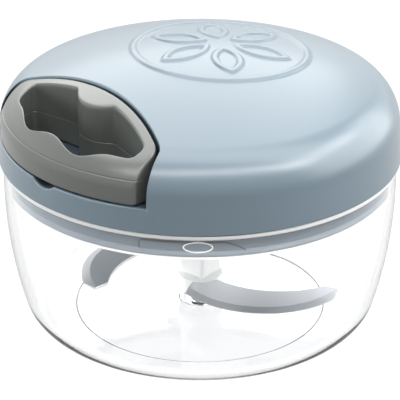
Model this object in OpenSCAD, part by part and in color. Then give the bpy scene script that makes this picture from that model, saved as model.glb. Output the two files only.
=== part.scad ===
// Pull-string food chopper: clear bowl, three-blade rotor and a domed lid that
// holds a rewind spool, a one-way clutch and a pull handle on a cord.
// Millimetres. +Z is up, the origin is the centre of the base, the handle pulls along -Y.

/* [Bowl] */
// Outer diameter of the bowl's straight collar
bowl_d = 122.4; // [116:0.2:128]
// Thickness of the bowl's wall
bowl_wall = 2.2; // [1.6:0.1:2.8]
// Thickness of the bowl's floor
bowl_floor = 2.6; // [2:0.1:4]
// Height of the bowl's rim above the table
bowl_h = 54.6; // [52:0.2:66]
// Height of the straight collar at the top of the bowl
collar_h = 9.8; // [9.4:0.2:11]
// Radius of the wall's arc below the collar
belly_r = 140; // [125:1:240]
// Outer radius of the corner between wall and floor
corner_r = 10; // [6:0.5:14]
// How far the rim bead stands out from the collar
bead_out = 0.8; // [0.4:0.1:1.2]
// Height of the rim bead
bead_h = 1.4; // [1:0.1:2]
// Radius of the shallow recess under the floor, inside the standing ring
recess_r = 40; // [34:0.5:42]
// Depth of that recess
recess_h = 0.8; // [0.4:0.1:1]

/* [Blade rotor] */
// Radius of the steel pivot pin
pin_r = 2; // [1.5:0.1:2.5]
// Height of the pivot pin above the bowl's floor
pin_h = 18; // [12:0.5:24]
// Height of the boss that holds the pin
boss_h = 3.4; // [2.5:0.1:4]
// Width across the flats of the rotor's square stem
stem_w = 9.6; // [9:0.1:11]
// Corner radius of the square stem
stem_round = 1.2; // [0.6:0.1:2]
// Radius of the rotor's round base
rotor_base_r = 7.2; // [7:0.1:8]
// Height of the rotor's round base
rotor_base_h = 6.1; // [5.5:0.1:7.5]
// Width across the flats of the square drive peg
peg_w = 7.4; // [6.8:0.1:7.8]
// Turn of the square stem about its axis
stem_turn = 13; // [0:1:90]
// Thickness of a blade
blade_t = 1; // [0.8:0.1:1.4]
// Radius swept by the blade tips
blade_reach = 45; // [40:0.5:48]
// Radius of a blade's convex cutting edge
edge_r = 30; // [28:0.1:32]
// Radius of a blade's concave back
back_r = 29.5; // [28:0.1:31]
// Distance of the cutting edge's centre along the blade
edge_x = 17.5; // [16:0.1:19]
// Distance of the cutting edge's centre across the blade
edge_y = 10.9; // [10:0.1:12]
// Distance of the back's centre along the blade
back_x = 18.2; // [17:0.1:20]
// Distance of the back's centre across the blade
back_y = 24.3; // [23.5:0.1:25]
// Width of the ground bevel on the cutting edge
bevel_w = 2.6; // [1.5:0.1:4]
// Height of the lowest blade above the rotor's foot
blade_low = 3.9; // [3:0.1:4.4]
// Height from one blade to the next
blade_step = 11.8; // [9:0.1:13]
// Direction of the lowest blade's tip
blade_turn = 41; // [0:1:120]

/* [Lid] */
// Outer diameter of the lid at its lower edge
lid_d = 125; // [122:0.2:130]
// Height of the lid's side, from its lower edge to the shoulder
side_h = 10; // [9:0.5:14]
// Draft of the lid's side, in on the radius
side_draft = 0.8; // [0:0.1:1.5]
// Radius of the rounded shoulder
shoulder_r = 14; // [12:0.5:16]
// Radius of the crowned top
crown_r = 150; // [140:5:300]
// Thickness of the lid's shell
lid_wall = 2.2; // [1.8:0.1:2.6]
// Gap between the lid's lower edge and the bowl's rim
lid_gap = 0.4; // [0.3:0.1:0.8]
// Width of the raised welts of the rosette on top
welt_w = 2.2; // [1.6:0.1:3]
// Height of the raised welts
welt_h = 0.7; // [0.4:0.1:1.2]
// Radius of the rosette's outer ring
rosette_r = 28; // [22:0.5:30]
// Number of petals in the rosette
petals = 6; // [4:1:8]

/* [Handle pocket] */
// Distance from the lid's centre to the pocket's rear wall
pocket_near = 34.8; // [33.5:0.1:37]
// Radius of the pocket's rear wall, in plan
pocket_r = 88.9; // [70:0.1:110]
// Half the pocket's width
pocket_half = 36.6; // [35.5:0.1:39]
// Radius of the pocket's rear corners, in plan
pocket_corner = 7; // [5:0.1:9]
// Height of the lip left below the pocket
lip_h = 7; // [6.6:0.1:8]
// Thickness of the pocket's floor and rear wall
pocket_wall = 1.8; // [1.4:0.1:2.2]
// Radius of the finger scoop in the lip
scoop_r = 6.5; // [5:0.5:8]
// Depth of the finger scoop
scoop_depth = 2.4; // [1.5:0.1:2.8]
// Direction of the finger scoop from the pocket's middle
scoop_turn = 3.1; // [-15:0.1:15]

/* [Handle] */
// Gap between handle and pocket
handle_gap = 0.8; // [0.6:0.1:1.2]
// Gap under the handle
handle_lift = 0.3; // [0.3:0.1:0.6]
// Height of the handle's lower half
handle_low_h = 7.5; // [7.2:0.1:9]
// Thickness of the handle's rear bar
bar_t = 3.2; // [2.8:0.1:4]
// Half the handle's width
handle_half = 33.9; // [32:0.1:34.5]
// Radius of the handle's rear corners, in plan
handle_corner = 4.2; // [3:0.1:6]
// Mean thickness of the handle's front bar
front_bar = 5.2; // [4.4:0.1:6]
// Depth of the finger waves, half of crest to trough
wave_h = 1; // [0:0.1:1.4]
// Spacing of the finger waves
wave_pitch = 22.4; // [18:0.2:26]
// Direction of the middle crest of the finger waves
wave_turn = 2.4; // [-6:0.2:6]
// Half the width of the finger opening
grip_half = 28.8; // [26:0.1:29.4]
// Half the width of the cord boss on the rear bar
cord_boss_half = 8.8; // [7:0.1:10]
// How far the cord boss stands into the opening
cord_boss_out = 4.6; // [3.5:0.1:6]

/* [Cord and spool] */
// Diameter of the pull cord
cord_d = 1.6; // [1.2:0.1:1.7]
// Radius of the spool's bare drum
drum_r = 14; // [13.6:0.1:16]
// Width between the spool's flanges
drum_w = 7.6; // [7:0.1:8]
// Radius of the spool's flanges
flange_r = 23; // [20:0.5:24]
// Thickness of a spool flange
flange_t = 1.4; // [1:0.1:1.5]
// Spacing of the cord's turns on the drum
cord_pitch = 2.1; // [2.05:0.01:2.3]
// Thickness of the rewind spring's strip
strip_t = 0.5; // [0.3:0.05:0.6]
// Width of the rewind spring's strip
strip_w = 6; // [4:0.5:6.5]
// Number of turns in the rewind spring
spring_turns = 6; // [4:1:7]
// Number of ratchet teeth inside the spool
ratchet_teeth = 12; // [9:3:15]

/* [Drive] */
// Radius of the drive shaft's journal
journal_r = 8.5; // [7.8:0.1:9]
// Radius of the slim spindle that carries the spool
spindle_r = 3; // [2.5:0.1:3.4]
// Wall of the journal's bush
bush_t = 1.5; // [1:0.1:2]
// Thickness of the lid's base plate
plate_t = 2.4; // [2:0.1:2.4]
// Height of the plug skirt under the base plate
skirt_h = 8.8; // [8:0.1:9.2]
// Thickness of the plug skirt
skirt_t = 2.2; // [2:0.1:2.8]
// Height of the tongue that holds the plug ring in the base plate
tongue_h = 1.2; // [0.8:0.1:1.4]
// Width of the silicone seal
seal_w = 2; // [1.5:0.1:2.5]
// Width of the raised pad on the plug ring
pad_w = 32; // [20:0.5:36]
// Height of the raised pad
pad_h = 5.2; // [4:0.1:5.4]
// How far the pad stands out
pad_t = 0.3; // [0.2:0.05:0.4]
// Direction of the pad
pad_turn = -40; // [-90:0.5:90]
// Width of the oval mark on the pad
mark_w = 9; // [6:0.1:12]
// Height of the oval mark
mark_h = 4; // [3:0.1:4.4]
// Distance of the base screws from the centre
screw_pcd_r = 50; // [47:0.5:52]

/* [Fits] */
// Radial clearance of a running fit
run_gap = 0.05; // [0.03:0.01:0.08]
// Clearance between faces that only pass each other
free_gap = 0.3; // [0.2:0.05:0.4]
// Gap between the plug skirt and the bowl
plug_gap = 0.6; // [0.5:0.05:0.8]

/* [Hidden] */
$fn = 64;
big = 200;
eps = 0.01;
wide_facets = 320;

// Bowl levels and radii
bowl_r = bowl_d / 2;
bowl_in_r = bowl_r - bowl_wall;
collar_z = bowl_h - collar_h;
boss_top = bowl_floor + boss_h;
boss_taper = 2.5;
pin_top = boss_top + pin_h - boss_h;
pin_root = bowl_floor / 2;

// Rotor levels
rotor_z = boss_top + free_gap;
stem_z = rotor_z + rotor_base_h;
blade_z = rotor_z + blade_low;
bore_top = pin_top + free_gap;
bush_t_pin = 1;
bush_r = pin_r + bush_t_pin;
cone_h = 0.8;
cone_lip = 0.4;
root_h = 1;
blade_edge_t = 0.2;
blade_margin = 0.6;
blade_tang = 4.5;
blade_lean = 10;

// Lid levels and radii
lid_z = bowl_h + lid_gap;
lid_r = lid_d / 2;
shoulder_z = lid_z + side_h;
shoulder_x = lid_r - side_draft - shoulder_r;
crown_z = shoulder_z - sqrt(pow(crown_r - shoulder_r, 2) - pow(shoulder_x, 2));
lid_top = crown_z + crown_r;
ceiling = lid_top - lid_wall;

// Base plate levels and radii
plate_z = bowl_h;
plate_top = plate_z + plate_t;
plate_r = lid_r - lid_wall - free_gap;
skirt_r = bowl_in_r - plug_gap;
skirt_z = plate_z - skirt_h;
seal_low = 0.8;
seal_z = skirt_z + seal_low;
seal_depth = 1;
seal_play = 0.1;
tongue_r = skirt_r - skirt_t / 4;
tongue_in = skirt_r - 3 * skirt_t / 4;
pad_z = plate_z - pad_h - free_gap;
pad_round = 2;
mark_line = 0.5;
mark_rise = 0.15;
mark_turn = 1;
hub_wall = 2.5;
hub_boss_r = journal_r + bush_t + hub_wall;
hub_down = 1;
hub_up = 1;
hub_boss_z = skirt_z + hub_down;
hub_boss_top = plate_top + hub_up;
rib_t = 1.6;
rib_h = 2;

// Pocket and handle levels
pocket_z = lid_z + lip_h;
pocket_c = pocket_near + pocket_r;
handle_z = pocket_z + handle_lift;
handle_split = handle_z + handle_low_h;
handle_inset = 0.15;
grip_r = lid_r - front_bar;
grip_angle = asin(grip_half / grip_r);
bar_y = -pocket_near - handle_gap - bar_t;
cord_boss_r = (pow(cord_boss_half, 2) + pow(cord_boss_out, 2)) / (2 * cord_boss_out);

// Drive levels: washer, flange, hexagon for the clutch, then the spindle
washer_t = 0.4;
drive_flange_z = hub_boss_top + washer_t + run_gap;
drive_flange_t = 1.4;
drive_flange_r = 11;
hex_z = drive_flange_z + drive_flange_t;
hex_h = 2.3;
hex_r = 6.5;
shaft_drop = 0.4;
shaft_z = hub_boss_z - shaft_drop;
socket_h = 6.4;
peg_top = shaft_z + socket_h - free_gap;
stem_top = shaft_z - 2 * free_gap;
peg_gap = 0.2;

// Spool levels
web_z = hex_z + hex_h + washer_t;
drum_z = web_z + flange_t;
spool_top = drum_z + drum_w + flange_t;
cord_rise = 2.5;
cord_z = drum_z + cord_rise;
ratchet_drop = 0.6;
ratchet_z = hex_z - ratchet_drop;
ratchet_r = 15.4;
ratchet_wall_r = 18.5;
tooth_h = 1.6;
cavity_wall = 1.8;
cavity_r = drum_r - cavity_wall;
spindle_short = 2.4;
spindle_top = ceiling - spindle_short;

// Rewind spring and its arbor
arbor_wall = 1.9;
arbor_r = spindle_r + arbor_wall;
arbor_z = drum_z + free_gap;
arbor_seat = 5;
arbor_collar = 2.4;
spring_z = drum_z + (drum_w + flange_t - strip_w) / 2;
spring_in = arbor_r + strip_t;
spring_out = cavity_r - strip_t;

// Cord: a plain first layer, then the outer layer that the lead leaves from
cord_r = cord_d / 2;
core_r = drum_r + cord_d;
winding_step = 15;
wound_r = (core_r + cord_r + run_gap) / cos(winding_step / 2);
cord_turns = floor((drum_w - 1.25 * cord_d) / cord_pitch * 24) / 24;
lead_gap = 2 * cord_r * sin(winding_step / 2);
eyelet_y = -pocket_near + pocket_wall / 2;
leave_angle = acos(wound_r / -eyelet_y);
leave_turn = -90 + leave_angle;
knot_y = bar_y + (bar_t - cord_boss_out) / 2;
knot_r = 2.3;
knot_play = 0.3;
eyelet_r = 2.2;
eyelet_rim_r = 3.4;
eyelet_rim_t = 0.5;
eyelet_play = 0.4;
knot_flat = knot_r * 0.9;

screw_r = 1.4;
screw_head_r = 2.8;
screw_head_h = 1.5;
screw_len = 9;
screw_boss_r = 3.6;
screw_play = 0.2;
screw_turns = [45, 135, 225, 315];
handle_screw_x = (grip_half + handle_half) / 2;
handle_screw_y = bar_y - 9;
handle_screw_r = 1.1;
handle_screw_bite = 2.2;
handle_head_r = 1.9;
handle_head_h = 1.4;
handle_head_sink = 0.2;

// A tube of n sides swept along points; each ring is turned to its own tangent.
function unit(v) = v / norm(v);
function tangent(p, i) = unit(p[min(i + 1, len(p) - 1)] - p[max(i - 1, 0)]);
function ring(c, t, r, n) =
    let (u = unit(cross(t, abs(t.z) < 0.9 ? [0, 0, 1] : [1, 0, 0])), v = cross(t, u))
    [for (k = [0 : n - 1]) c + r * (u * cos(360 * k / n) + v * sin(360 * k / n))];
module tube(p, r, n = 6) {
    last = len(p) - 1;
    skin = [for (i = [0 : last - 1], k = [0 : n - 1], s = [0, 1])
        let (a = i * n + k, b = i * n + (k + 1) % n)
        s == 0 ? [a, a + n, b] : [b, a + n, b + n]];
    start = [for (k = [1 : n - 2]) [0, k, k + 1]];
    end = [for (k = [1 : n - 2]) [last * n, last * n + k + 1, last * n + k]];
    polyhedron([for (i = [0 : last]) each ring(p[i], tangent(p, i), r, n)], concat(skin, start, end));
}

// Outer layer of the cord: the lead leaves it at its lower end.
winding_points = [for (i = [0 : round(cord_turns * 24)])
    let (a = leave_turn + i * winding_step,
        z = drum_z + (drum_w - cord_turns * cord_pitch) / 2 + i / 24 * cord_pitch)
    [wound_r * cos(a), wound_r * sin(a), z]];
winding_gap = min([for (i = [0 : len(winding_points) - 1], j = [0 : len(winding_points) - 1])
    j - i > 12 ? norm(winding_points[i] - winding_points[j]) : big]) - cord_d;
echo(winding_turns = cord_turns, least_gap_between_turns = winding_gap);

// Half profile of the bowl's outside or inside, from its floor level up.
module bowl_half(r, belly, corner, floor_z, top) {
    cx = r - belly;
    fx = cx + sqrt(pow(belly - corner, 2) - pow(collar_z - floor_z - corner, 2));
    fz = floor_z + corner;
    tz = collar_z + belly * (fz - collar_z) / (belly - corner);
    translate([0, collar_z - eps]) square([r, top - collar_z + eps]);
    intersection() {
        translate([cx, collar_z]) circle(belly);
        translate([0, tz]) square([r, collar_z - tz]);
    }
    translate([fx, fz]) circle(corner);
    translate([0, floor_z]) square([fx, tz - floor_z + eps]);
}

module bowl() {
    color([0.9, 0.94, 0.96, 0.35]) difference() {
        rotate_extrude() {
            bowl_half(bowl_r, belly_r, corner_r, 0, bowl_h);
            translate([bowl_r - bowl_wall, bowl_h - bead_h]) square([bowl_wall + bead_out, bead_h]);
        }
        difference() {
            rotate_extrude()
                bowl_half(bowl_in_r, belly_r - bowl_wall, corner_r - bowl_wall, bowl_floor, bowl_h + 1);
            cylinder(h = boss_top, r1 = rotor_base_r, r2 = rotor_base_r - boss_taper);
        }
        translate([0, 0, -1]) cylinder(h = 1 + recess_h, r = recess_r);
        translate([0, 0, pin_root]) cylinder(h = pin_top, r = pin_r);
    }
}

module pivot_pin() {
    color("silver") {
        translate([0, 0, pin_root]) cylinder(h = pin_top - pin_root - pin_r / 2, r = pin_r);
        translate([0, 0, pin_top - pin_r / 2]) cylinder(h = pin_r / 2, r1 = pin_r, r2 = pin_r / 2);
    }
}

// A crescent knife on an eye: a disc ground to a bevel all round, less the disc of its back.
module blade_plate(turn, z) {
    rotate(turn - blade_lean) translate([0, 0, z]) difference() {
        union() {
            difference() {
                intersection() {
                    translate([edge_x, edge_y, 0]) rotate_extrude() polygon([[0, 0], [edge_r, 0],
                        [edge_r, blade_edge_t], [edge_r - bevel_w, blade_t], [0, blade_t]]);
                    cylinder(h = blade_t, r = blade_reach);
                    translate([0, -edge_r, 0]) cube([big, edge_r + blade_tang, blade_t]);
                }
                translate([back_x, back_y, -1]) cylinder(h = blade_t + 2, r = back_r);
            }
            cylinder(h = blade_t, r = rotor_base_r - blade_margin);
        }
        translate([0, 0, -1]) cylinder(h = blade_t + 2, r = bush_r + blade_margin);
    }
}

module lower_blade() { color("lightgray") blade_plate(blade_turn, blade_z); }
module middle_blade() { color("lightgray") blade_plate(blade_turn - 120, blade_z + blade_step); }
module upper_blade() { color("lightgray") blade_plate(blade_turn + 120, blade_z + 2 * blade_step); }

module rounded_square(w, r, h) {
    linear_extrude(h) {
        square([w, w - 2 * r], center = true);
        square([w - 2 * r, w], center = true);
        for (x = [-1, 1], y = [-1, 1]) translate([x, y] * (w / 2 - r)) circle(r);
    }
}

module rotor_hub() {
    color("whitesmoke") difference() {
        union() {
            translate([0, 0, rotor_z]) cylinder(h = rotor_base_h - cone_h, r = rotor_base_r);
            translate([0, 0, stem_z - cone_h])
                cylinder(h = cone_h, r1 = rotor_base_r, r2 = stem_w / 2 + cone_lip);
            rotate(stem_turn) translate([0, 0, rotor_z + root_h])
                rounded_square(stem_w, stem_round, stem_top - rotor_z - root_h);
            rotate(stem_turn) translate([0, 0, stem_top - root_h])
                rounded_square(peg_w, stem_round / 2, peg_top - stem_top + root_h);
        }
        translate([0, 0, rotor_z - 1]) cylinder(h = bore_top - rotor_z + 1, r = bush_r);
        blade_plate(blade_turn, blade_z);
        blade_plate(blade_turn - 120, blade_z + blade_step);
        blade_plate(blade_turn + 120, blade_z + 2 * blade_step);
    }
}

module rotor_bush() {
    color("goldenrod") translate([0, 0, rotor_z]) difference() {
        cylinder(h = bore_top - rotor_z, r = bush_r);
        translate([0, 0, -1]) cylinder(h = pin_top + free_gap / 2 - rotor_z + 1, r = pin_r + run_gap);
    }
}

// Solid of the lid's outside, taken in by inset, from below its edge to its crown.
module lid_body(inset, below = 0) {
    r = shoulder_r - inset;
    tx = shoulder_x * (crown_r - inset) / (crown_r - shoulder_r);
    rotate_extrude() {
        polygon([[0, lid_z - below], [lid_r - inset, lid_z - below], [lid_r - inset, lid_z],
            [shoulder_x + r, shoulder_z], [0, shoulder_z]]);
        intersection() {
            translate([shoulder_x, shoulder_z]) circle(r);
            translate([0, shoulder_z - eps]) square([lid_r, shoulder_r + 2]);
        }
        intersection() {
            translate([0, crown_z]) circle(crown_r - inset, $fn = 200);
            translate([0, shoulder_z - eps]) square([tx, lid_top - shoulder_z + 2]);
        }
    }
}

// Plan of a pocket or handle: an arc at the rear, rounded corners, straight ends, open to the front.
module lens_plan(r, half, corner) {
    fx = half - corner;
    fy = -pocket_c + sqrt(pow(r - corner, 2) - fx * fx);
    turn = 0.88 * atan2(fy + pocket_c, fx);
    bend = [for (k = [0 : 8]) [fx + corner * cos(turn * k / 8), fy + corner * sin(turn * k / 8)]];
    past = bend[8] + 3 * corner * [-sin(turn), cos(turn)];
    side = concat([[half, -lid_d]], bend, [past]);
    intersection() {
        translate([0, -pocket_c]) circle(r, $fn = wide_facets);
        polygon(concat(side, [[0, 0]], [for (i = [len(side) - 1 : -1 : 0]) [-side[i].x, side[i].y]]));
    }
}

// Plan of the handle's pocket, grown by g.
module pocket_plan(g) { lens_plan(pocket_r + g, pocket_half + g, pocket_corner + g); }

// Outline of one rosette petal, grown by g: the overlap of two circles.
module petal_plan(g) {
    petal_len = rosette_r - 9;
    petal_half = petal_len * 0.26;
    arc_r = (petal_len * petal_len / 4 + petal_half * petal_half) / (2 * petal_half);
    translate([petal_len / 2 + 4, 0]) intersection_for (s = [-1, 1])
        translate([0, s * (arc_r - petal_half)]) circle(arc_r + g);
}

module rosette_plan() {
    difference() {
        circle(rosette_r);
        circle(rosette_r - welt_w);
    }
    for (i = [0 : petals - 1]) rotate(360 * (i + 0.5) / petals) difference() {
        petal_plan(0);
        petal_plan(-welt_w);
    }
}

module scoop(r) {
    rotate(scoop_turn) translate([0, -lid_r + 5, pocket_z - scoop_depth + scoop_r])
        rotate([90, 0, 0]) cylinder(h = 12, r = r);
}

module lid_cover() {
    rosette_y = 8;
    color([0.66, 0.73, 0.78]) difference() {
        union() {
            difference() {
                lid_body(0);
                lid_body(lid_wall, 1);
            }
            intersection() {
                lid_body(lid_wall / 2);
                union() {
                    translate([0, 0, pocket_z - pocket_wall]) linear_extrude(big) pocket_plan(pocket_wall);
                    intersection() {
                        scoop(scoop_r + pocket_wall);
                        translate([-big / 2, -big, lid_z + eps]) cube([big, big, lip_h]);
                    }
                    for (a = screw_turns) rotate(a) translate([screw_pcd_r, 0, plate_top])
                        cylinder(h = big, r = screw_boss_r);
                    translate([0, 0, ceiling - arbor_seat + free_gap])
                        cylinder(h = arbor_seat + lid_wall / 2, r = arbor_r + arbor_collar);
                }
            }
            intersection() {
                difference() {
                    lid_body(-welt_h);
                    lid_body(lid_wall / 2, 1);
                }
                translate([0, rosette_y, shoulder_z]) linear_extrude(big) rosette_plan();
            }
        }
        translate([0, 0, pocket_z]) linear_extrude(big) pocket_plan(0);
        scoop(scoop_r);
        for (a = screw_turns) rotate(a) translate([screw_pcd_r, 0, plate_top - 1])
            cylinder(h = screw_len + 1.5, r = screw_r);
        translate([0, 0, ceiling - arbor_seat]) cylinder(h = arbor_seat, r = arbor_r);
        translate([0, eyelet_y, cord_z]) rotate([90, 0, 0])
            cylinder(h = 3 * pocket_wall, r = eyelet_r, center = true);
        translate([0, -pocket_near, cord_z]) rotate([90, 0, 0])
            cylinder(h = 2 * free_gap, r = eyelet_rim_r + run_gap, center = true);
    }
}

module lid_base() {
    color([0.66, 0.73, 0.78]) difference() {
        union() {
            translate([0, 0, plate_z]) cylinder(h = plate_t, r = plate_r);
            translate([0, 0, hub_boss_z]) cylinder(h = hub_boss_top - hub_boss_z, r = hub_boss_r);
            for (a = screw_turns) rotate(a + 45) translate([hub_boss_r - 1, -rib_t / 2, plate_z - rib_h])
                cube([skirt_r - skirt_t - free_gap - hub_boss_r + 1, rib_t, rib_h + eps]);
        }
        translate([0, 0, plate_z - 1]) difference() {
            cylinder(h = tongue_h + run_gap + 1, r = tongue_r + run_gap);
            translate([0, 0, -1]) cylinder(h = tongue_h + 4, r = tongue_in - run_gap);
        }
        translate([0, 0, hub_boss_z - 1])
            cylinder(h = hub_boss_top - hub_boss_z + 2, r = journal_r + run_gap + bush_t);
        for (a = screw_turns) rotate(a) translate([screw_pcd_r, 0, plate_z - 1]) {
            cylinder(h = plate_t + 2, r = screw_r + screw_play);
        }
    }
}

// A stadium w by h about the origin.
module stadium(w, h) {
    square([w - h, h], center = true);
    for (s = [-1, 1]) translate([s * (w - h) / 2, 0]) circle(h / 2);
}

// Solid on the plug ring's outside that a plan, drawn upright, is cut from.
module on_skirt(rise, turn, z) {
    intersection() {
        translate([0, 0, skirt_z]) difference() {
            cylinder(h = skirt_h, r = skirt_r + rise);
            translate([0, 0, -1]) cylinder(h = skirt_h + 2, r = skirt_r - skirt_t / 2);
        }
        rotate(turn + 90) translate([0, 0, z]) rotate([90, 0, 0]) linear_extrude(big) children();
    }
}

// Ring under the base plate that plugs the bowl: it carries the seal and a pad with an oval mark.
module plug_ring() {
    color([0.66, 0.73, 0.78]) {
        difference() {
            union() {
                translate([0, 0, skirt_z]) cylinder(h = skirt_h, r = skirt_r);
                translate([0, 0, plate_z - eps]) cylinder(h = tongue_h + eps, r = tongue_r);
            }
            translate([0, 0, skirt_z - 1]) cylinder(h = skirt_h + 1, r = skirt_r - skirt_t);
            translate([0, 0, skirt_z]) cylinder(h = big, r = tongue_in);
            translate([0, 0, seal_z]) difference() {
                cylinder(h = seal_w, r = skirt_r + 1);
                translate([0, 0, -1]) cylinder(h = seal_w + 2, r = skirt_r - seal_depth);
            }
        }
        on_skirt(pad_t, pad_turn, pad_z + pad_h / 2) {
            square([pad_w - 2 * pad_round, pad_h], center = true);
            square([pad_w, pad_h - 2 * pad_round], center = true);
            for (x = [-1, 1], y = [-1, 1])
                translate([x * (pad_w / 2 - pad_round), y * (pad_h / 2 - pad_round)]) circle(pad_round);
        }
        on_skirt(pad_t + mark_rise, pad_turn + mark_turn, pad_z + pad_h / 2) difference() {
            stadium(mark_w, mark_h);
            stadium(mark_w - 2 * mark_line, mark_h - 2 * mark_line);
        }
    }
}

module seal_ring() {
    lip = plug_gap - seal_play;
    color("white") translate([0, 0, seal_z]) rotate_extrude() {
        translate([skirt_r - seal_depth, 0]) square([seal_depth, seal_w]);
        polygon([[skirt_r - eps, 0], [skirt_r + lip, seal_w * 0.3], [skirt_r + lip, seal_w * 0.5],
            [skirt_r - eps, seal_w]]);
    }
}

module base_screws() {
    color("silver") for (a = screw_turns) rotate(a) translate([screw_pcd_r, 0, plate_z]) {
        translate([0, 0, -screw_head_h]) cylinder(h = screw_head_h, r = screw_head_r);
        translate([0, 0, -eps]) cylinder(h = screw_len, r = screw_r);
    }
}

module shaft_bush() {
    color("ivory") translate([0, 0, hub_boss_z]) difference() {
        cylinder(h = hub_boss_top - hub_boss_z, r = journal_r + run_gap + bush_t);
        translate([0, 0, -1]) cylinder(h = hub_boss_top - hub_boss_z + 2, r = journal_r + run_gap);
    }
}

module thrust_washer() {
    color("silver") translate([0, 0, hub_boss_top]) difference() {
        cylinder(h = washer_t, r = drive_flange_r);
        translate([0, 0, -1]) cylinder(h = washer_t + 2, r = journal_r + free_gap);
    }
}

// Flanged ring in the pocket's rear wall that the cord runs through.
module cord_eyelet() {
    color("ivory") translate([0, -pocket_near + free_gap, cord_z]) rotate([90, 0, 0]) difference() {
        union() {
            translate([0, 0, -pocket_wall - free_gap])
                cylinder(h = pocket_wall + free_gap + eyelet_rim_t / 2, r = eyelet_r);
            cylinder(h = eyelet_rim_t, r = eyelet_rim_r);
        }
        translate([0, 0, -big / 2]) cylinder(h = big, r = cord_r + eyelet_play);
    }
}

// Fixed tube from the lid's ceiling: the spring hooks to it, and the spindle turns in it.
module spring_arbor() {
    color("ivory") translate([0, 0, arbor_z]) difference() {
        cylinder(h = ceiling - run_gap - arbor_z, r = arbor_r);
        translate([0, 0, -1]) cylinder(h = spindle_top + free_gap - arbor_z + 1, r = spindle_r + run_gap);
    }
}

// Flat spiral strip between the arbor and the spool's cavity.
module rewind_spring() {
    steps = spring_turns * 20;
    function spiral(i, r) = let (a = i * 18, q = spring_in + (spring_out - spring_in) * i / steps + r)
        [q * cos(a), q * sin(a)];
    color("dimgray") translate([0, 0, spring_z]) linear_extrude(strip_w)
        polygon(concat([for (i = [0 : steps]) spiral(i, 0)],
            [for (i = [steps : -1 : 0]) spiral(i, strip_t / 2)]));
}

// Drum with two flanges, a cavity for the spring above and ratchet teeth below.
module cord_spool() {
    color("white") difference() {
        union() {
            translate([0, 0, ratchet_z]) cylinder(h = web_z - ratchet_z + eps, r = ratchet_wall_r);
            translate([0, 0, web_z]) cylinder(h = flange_t, r = flange_r);
            translate([0, 0, drum_z - eps]) cylinder(h = drum_w + 2 * eps, r = drum_r);
            translate([0, 0, spool_top - flange_t]) cylinder(h = flange_t, r = flange_r);
        }
        translate([0, 0, drum_z]) cylinder(h = big, r = cavity_r);
        translate([0, 0, ratchet_z - 1]) cylinder(h = web_z - ratchet_z + 1, r = drive_flange_r + 1);
        translate([0, 0, ratchet_z - 1]) linear_extrude(web_z - ratchet_z + 1)
            polygon([for (i = [0 : ratchet_teeth - 1], s = [0, 1])
                let (a = (i + 0.96 * s) * 360 / ratchet_teeth, r = s == 0 ? ratchet_r - tooth_h : ratchet_r)
                [r * cos(a), r * sin(a)]]);
        translate([0, 0, ratchet_z - 1]) cylinder(h = big, r = spindle_r + run_gap);
    }
}

module spool_washer() {
    color("silver") translate([0, 0, hex_z + hex_h]) difference() {
        cylinder(h = washer_t - run_gap, r = drive_flange_r - 2);
        translate([0, 0, -1]) cylinder(h = washer_t + 2, r = spindle_r + run_gap);
    }
}

// First layer of cord, plain, under the outer layer.
module cord_core() {
    color("white") translate([0, 0, drum_z]) difference() {
        cylinder(h = drum_w, r = core_r);
        translate([0, 0, -1]) cylinder(h = drum_w + 2, r = drum_r);
    }
}

module cord_winding() { color("white") tube(winding_points, cord_r); }

// Turns in the base plate, takes the rotor's peg from below and carries the clutch and spool.
module drive_shaft() {
    color("whitesmoke") difference() {
        union() {
            translate([0, 0, shaft_z]) cylinder(h = drive_flange_z - shaft_z + eps, r = journal_r);
            translate([0, 0, drive_flange_z]) cylinder(h = drive_flange_t, r = drive_flange_r);
            translate([0, 0, hex_z - eps]) cylinder(h = hex_h + eps, r = hex_r, $fn = 6);
            translate([0, 0, hex_z]) cylinder(h = spindle_top - hex_z, r = spindle_r);
        }
        rotate(stem_turn) translate([0, 0, shaft_z - 1])
            rounded_square(peg_w + 2 * peg_gap, stem_round / 2, socket_h + 1);
    }
}

// One-piece clutch: a ring on the hexagon with three springy arms that catch the ratchet teeth.
module clutch_pawl() {
    arm_t = 1.4;
    bend_r = 12;
    tooth = 360 / ratchet_teeth;
    span = floor(90 / tooth) * tooth - 2;
    root = [hex_r + 0.9, 0];
    tip = (ratchet_r - 0.2) * [cos(span), sin(span)];
    half = norm(tip - root) / 2;
    in = [root.y - tip.y, tip.x - root.x] / (2 * half);
    centre = (root + tip) / 2 + in * sqrt(bend_r * bend_r - half * half);
    color("orange") translate([0, 0, hex_z + run_gap]) linear_extrude(hex_h - 2 * run_gap) difference() {
        union() {
            circle(hex_r + 1.8);
            for (i = [0 : 2]) rotate(120 * i) intersection() {
                difference() {
                    translate(centre) circle(bend_r);
                    translate(centre) circle(bend_r - arm_t);
                }
                polygon([[0, 0], [big, 0], [big, big], big * [cos(span), sin(span)]]);
            }
        }
        circle(hex_r + run_gap, $fn = 6);
    }
}

// Free run of the cord: off the winding, through the eyelet and into the handle.
module pull_cord() {
    inside = [0, eyelet_y + pocket_wall, cord_z];
    outside = [0, eyelet_y - pocket_wall / 2, cord_z];
    start = winding_points[0] + lead_gap * unit(inside - winding_points[0]);
    color("white") tube([start, inside, outside, [0, knot_y + knot_flat, cord_z]], cord_r, 8);
}

module cord_knot() {
    color("white") translate([0, knot_y, cord_z]) difference() {
        sphere(knot_r);
        translate([-big / 2, knot_flat, -big / 2]) cube(big);
    }
}

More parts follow.
